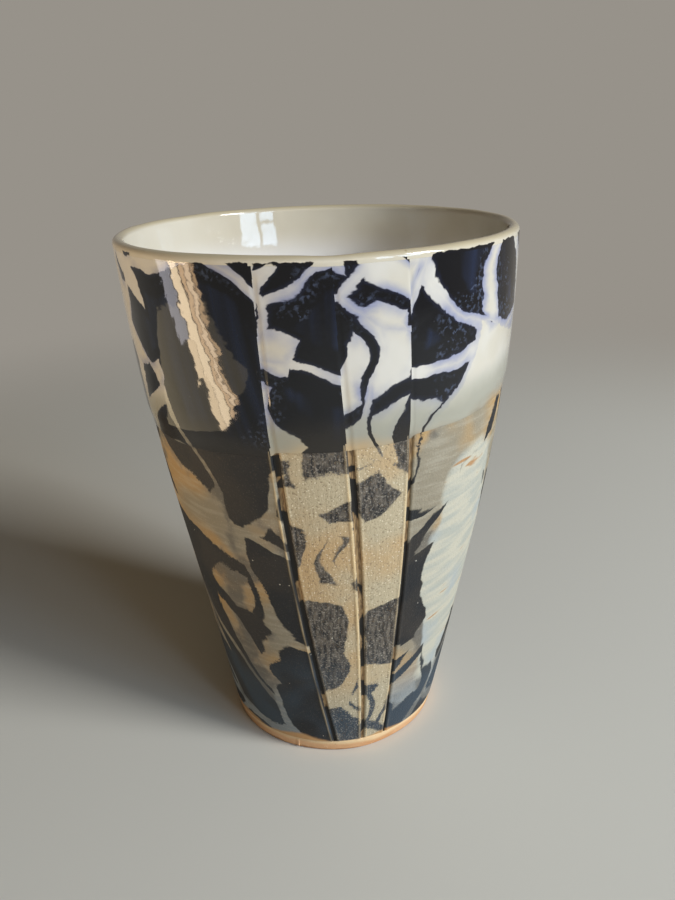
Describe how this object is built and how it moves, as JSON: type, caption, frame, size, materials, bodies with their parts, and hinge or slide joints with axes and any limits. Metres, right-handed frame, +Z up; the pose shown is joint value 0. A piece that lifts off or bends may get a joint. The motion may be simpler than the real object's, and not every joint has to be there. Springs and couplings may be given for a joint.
{
  "type": "coffee cup",
  "caption": "Slab-built stoneware tumbler without a handle, with visible seams, a glazed inside and lip, a dipped glossy upper band and a bare foot.",
  "frame": {"origin": "centre of the flat underside, on the surface that the cup stands on", "axes": "+Z up, from the foot to the rim; -Y towards the front, where the three seams are; +X to the right of the front"},
  "size_m": [0.0833, 0.0832, 0.118],
  "materials": {
    "bare_clay": "bare stoneware, toasted orange, matte",
    "buff_clay": "bare buff stoneware, scraped and grainy, matte",
    "slip_painted_clay": "charcoal and pale blue-grey slip on buff stoneware, matte",
    "joining_slip": "dry brown slip, matte",
    "cream_glaze": "clear gloss glaze, cream over the clay",
    "decorated_glaze": "clear gloss glaze over navy and black slip on cream"
  },
  "bodies": {
    "root": {"base_slab": "bare_clay", "base_joint_slip": "joining_slip", "floor_coil": "buff_clay", "wall_wrap": "slip_painted_clay", "wall_strip_left": "buff_clay", "wall_strip_right": "buff_clay", "seam_slip_left": "joining_slip", "seam_slip_middle": "joining_slip", "seam_slip_right": "joining_slip", "liner_glaze": "cream_glaze", "outer_glaze": "decorated_glaze"}
  },
  "joints": []
}
